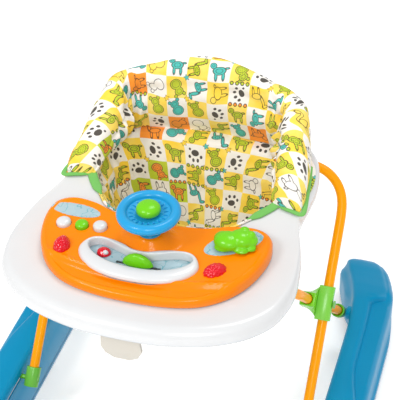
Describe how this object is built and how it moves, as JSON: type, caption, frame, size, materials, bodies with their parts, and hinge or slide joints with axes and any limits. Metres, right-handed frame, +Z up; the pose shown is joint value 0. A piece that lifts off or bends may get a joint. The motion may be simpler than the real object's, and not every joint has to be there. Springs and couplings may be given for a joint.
{
  "type": "baby walker",
  "caption": "Wheeled baby walker: U-shaped base, folding X-frame, toy tray with steering wheel, and a padded fabric bucket seat.",
  "frame": {"origin": "on the floor, under the middle of the base's bounding box", "axes": "+Z up; +Y from the toy tray towards the backrest; +X to the left of a seated child"},
  "size_m": [0.612, 0.64, 0.538],
  "materials": {
    "blue_plastic": "gloss moulded",
    "white_plastic": "gloss moulded",
    "orange_plastic": "gloss moulded",
    "green_plastic": "gloss moulded",
    "foot_green": "gloss moulded",
    "cream_plastic": "satin",
    "grey_plastic": "satin",
    "red_lens": "clear gloss",
    "picture_label": "printed gloss film",
    "orange_paint": "gloss paint",
    "steel": "zinc plated",
    "rubber": "matte",
    "seat_fabric": "printed padded cotton"
  },
  "bodies": {
    "base": {"base_front_bridge": "blue_plastic", "base_rail_left": "blue_plastic", "base_rail_right": "blue_plastic", "brake_strip_left": "rubber", "brake_strip_right": "rubber", "rear_axle_left": "steel", "rear_axle_right": "steel"},
    "inner_legs": {"inner_leg_tube": "orange_paint", "rear_foot_cap_left": "foot_green", "rear_foot_cap_right": "foot_green", "rear_foot_pin_left": "steel", "rear_foot_pin_right": "steel", "inner_clamp_left": "green_plastic", "inner_clamp_right": "green_plastic"},
    "outer_legs": {"outer_leg_tube": "orange_paint", "front_foot_cap_left": "foot_green", "front_foot_cap_right": "foot_green", "front_foot_pin_left": "steel", "front_foot_pin_right": "steel", "outer_clamp_left": "green_plastic", "outer_clamp_right": "green_plastic", "pivot_rivet_left": "steel", "pivot_rivet_right": "steel"},
    "tray": {"tray_shell": "white_plastic", "toy_panel": "orange_plastic", "window_bezel": "white_plastic", "window_floor": "picture_label", "window_ladybird": "red_lens", "steering_column": "blue_plastic", "sound_module": "grey_plastic", "battery_door": "white_plastic", "latch_bracket": "white_plastic", "latch_pin": "steel", "seat_bucket": "seat_fabric", "backrest_pad": "seat_fabric", "rear_bar_clip_left": "white_plastic", "rear_bar_clip_right": "white_plastic", "slide_guide_left": "white_plastic", "slide_guide_right": "white_plastic", "berry_light_left": "red_lens", "berry_light_right": "red_lens", "picture_label_left": "picture_label", "picture_label_right": "picture_label"},
    "steering": {"steering_wheel": "blue_plastic"},
    "horn": {"horn_cap": "green_plastic"},
    "outer_button": {"button_outer": "white_plastic"},
    "middle_button": {"button_middle": "green_plastic"},
    "inner_button": {"button_inner": "white_plastic"},
    "frog": {"frog_key": "green_plastic"},
    "hill": {"hill_slider": "green_plastic"},
    "latch": {"latch_lever": "cream_plastic"},
    "caster_left": {"caster_fork_left": "grey_plastic", "caster_axle_left": "steel"},
    "front_wheel_left": {"caster_wheel_left": "rubber"},
    "rear_wheel_left": {"rear_wheel_left": "rubber"},
    "caster_right": {"caster_fork_right": "grey_plastic", "caster_axle_right": "steel"},
    "front_wheel_right": {"caster_wheel_right": "rubber"},
    "rear_wheel_right": {"rear_wheel_right": "rubber"}
  },
  "joints": [
    {"name": "frame_fold", "type": "hinge", "parent": "base", "child": "inner_legs", "pos_m": [0, 0.15996, 0.085], "axis": [1, 0, 0], "range_deg": [0, 29]},
    {"name": "scissor_pivot", "type": "hinge", "parent": "inner_legs", "child": "outer_legs", "pos_m": [0, 0.02, 0.23615], "axis": [-1, 0, 0], "range_deg": [0, 58]},
    {"name": "tray_level", "type": "hinge", "parent": "outer_legs", "child": "tray", "pos_m": [0, 0.15996, 0.3873], "axis": [1, 0, 0], "range_deg": [0, 29]},
    {"name": "steering_turn", "type": "hinge", "parent": "tray", "child": "steering", "pos_m": [0, -0.116, 0.478], "axis": [0, 0, 1], "continuous": true},
    {"name": "horn_press", "type": "slide", "parent": "steering", "child": "horn", "axis": [0, 0, -1], "range_m": [0, 0.002], "stiffness_N_per_m": 600},
    {"name": "outer_button_press", "type": "slide", "parent": "tray", "child": "outer_button", "axis": [0, 0, -1], "range_m": [0, 0.003], "stiffness_N_per_m": 500},
    {"name": "middle_button_press", "type": "slide", "parent": "tray", "child": "middle_button", "axis": [0, 0, -1], "range_m": [0, 0.003], "stiffness_N_per_m": 500},
    {"name": "inner_button_press", "type": "slide", "parent": "tray", "child": "inner_button", "axis": [0, 0, -1], "range_m": [0, 0.003], "stiffness_N_per_m": 500},
    {"name": "frog_press", "type": "slide", "parent": "tray", "child": "frog", "axis": [0, 0, -1], "range_m": [0, 0.002], "stiffness_N_per_m": 600},
    {"name": "hill_slide", "type": "slide", "parent": "tray", "child": "hill", "axis": [1, 0, 0], "range_m": [-0.027, 0.027]},
    {"name": "latch_pull", "type": "hinge", "parent": "tray", "child": "latch", "pos_m": [0, -0.25, 0.393], "axis": [-1, 0, 0], "range_deg": [0, 20], "stiffness_Nm_per_rad": 0.3},
    {"name": "caster_swivel_left", "type": "hinge", "parent": "base", "child": "caster_left", "pos_m": [-0.273, -0.205, 0.05], "axis": [0, 0, 1], "continuous": true},
    {"name": "front_wheel_spin_left", "type": "hinge", "parent": "caster_left", "child": "front_wheel_left", "pos_m": [-0.273, -0.198, 0.0175], "axis": [1, 0, 0], "continuous": true},
    {"name": "rear_wheel_spin_left", "type": "hinge", "parent": "base", "child": "rear_wheel_left", "pos_m": [-0.268, 0.228, 0.02], "axis": [1, 0, 0], "continuous": true},
    {"name": "caster_swivel_right", "type": "hinge", "parent": "base", "child": "caster_right", "pos_m": [0.273, -0.205, 0.05], "axis": [0, 0, 1], "continuous": true},
    {"name": "front_wheel_spin_right", "type": "hinge", "parent": "caster_right", "child": "front_wheel_right", "pos_m": [0.273, -0.198, 0.0175], "axis": [1, 0, 0], "continuous": true},
    {"name": "rear_wheel_spin_right", "type": "hinge", "parent": "base", "child": "rear_wheel_right", "pos_m": [0.268, 0.228, 0.02], "axis": [1, 0, 0], "continuous": true}
  ],
  "couplings": [
    {"joint": "scissor_pivot", "follows": "frame_fold", "ratio": 2},
    {"joint": "tray_level", "follows": "frame_fold", "ratio": 1}
  ]
}
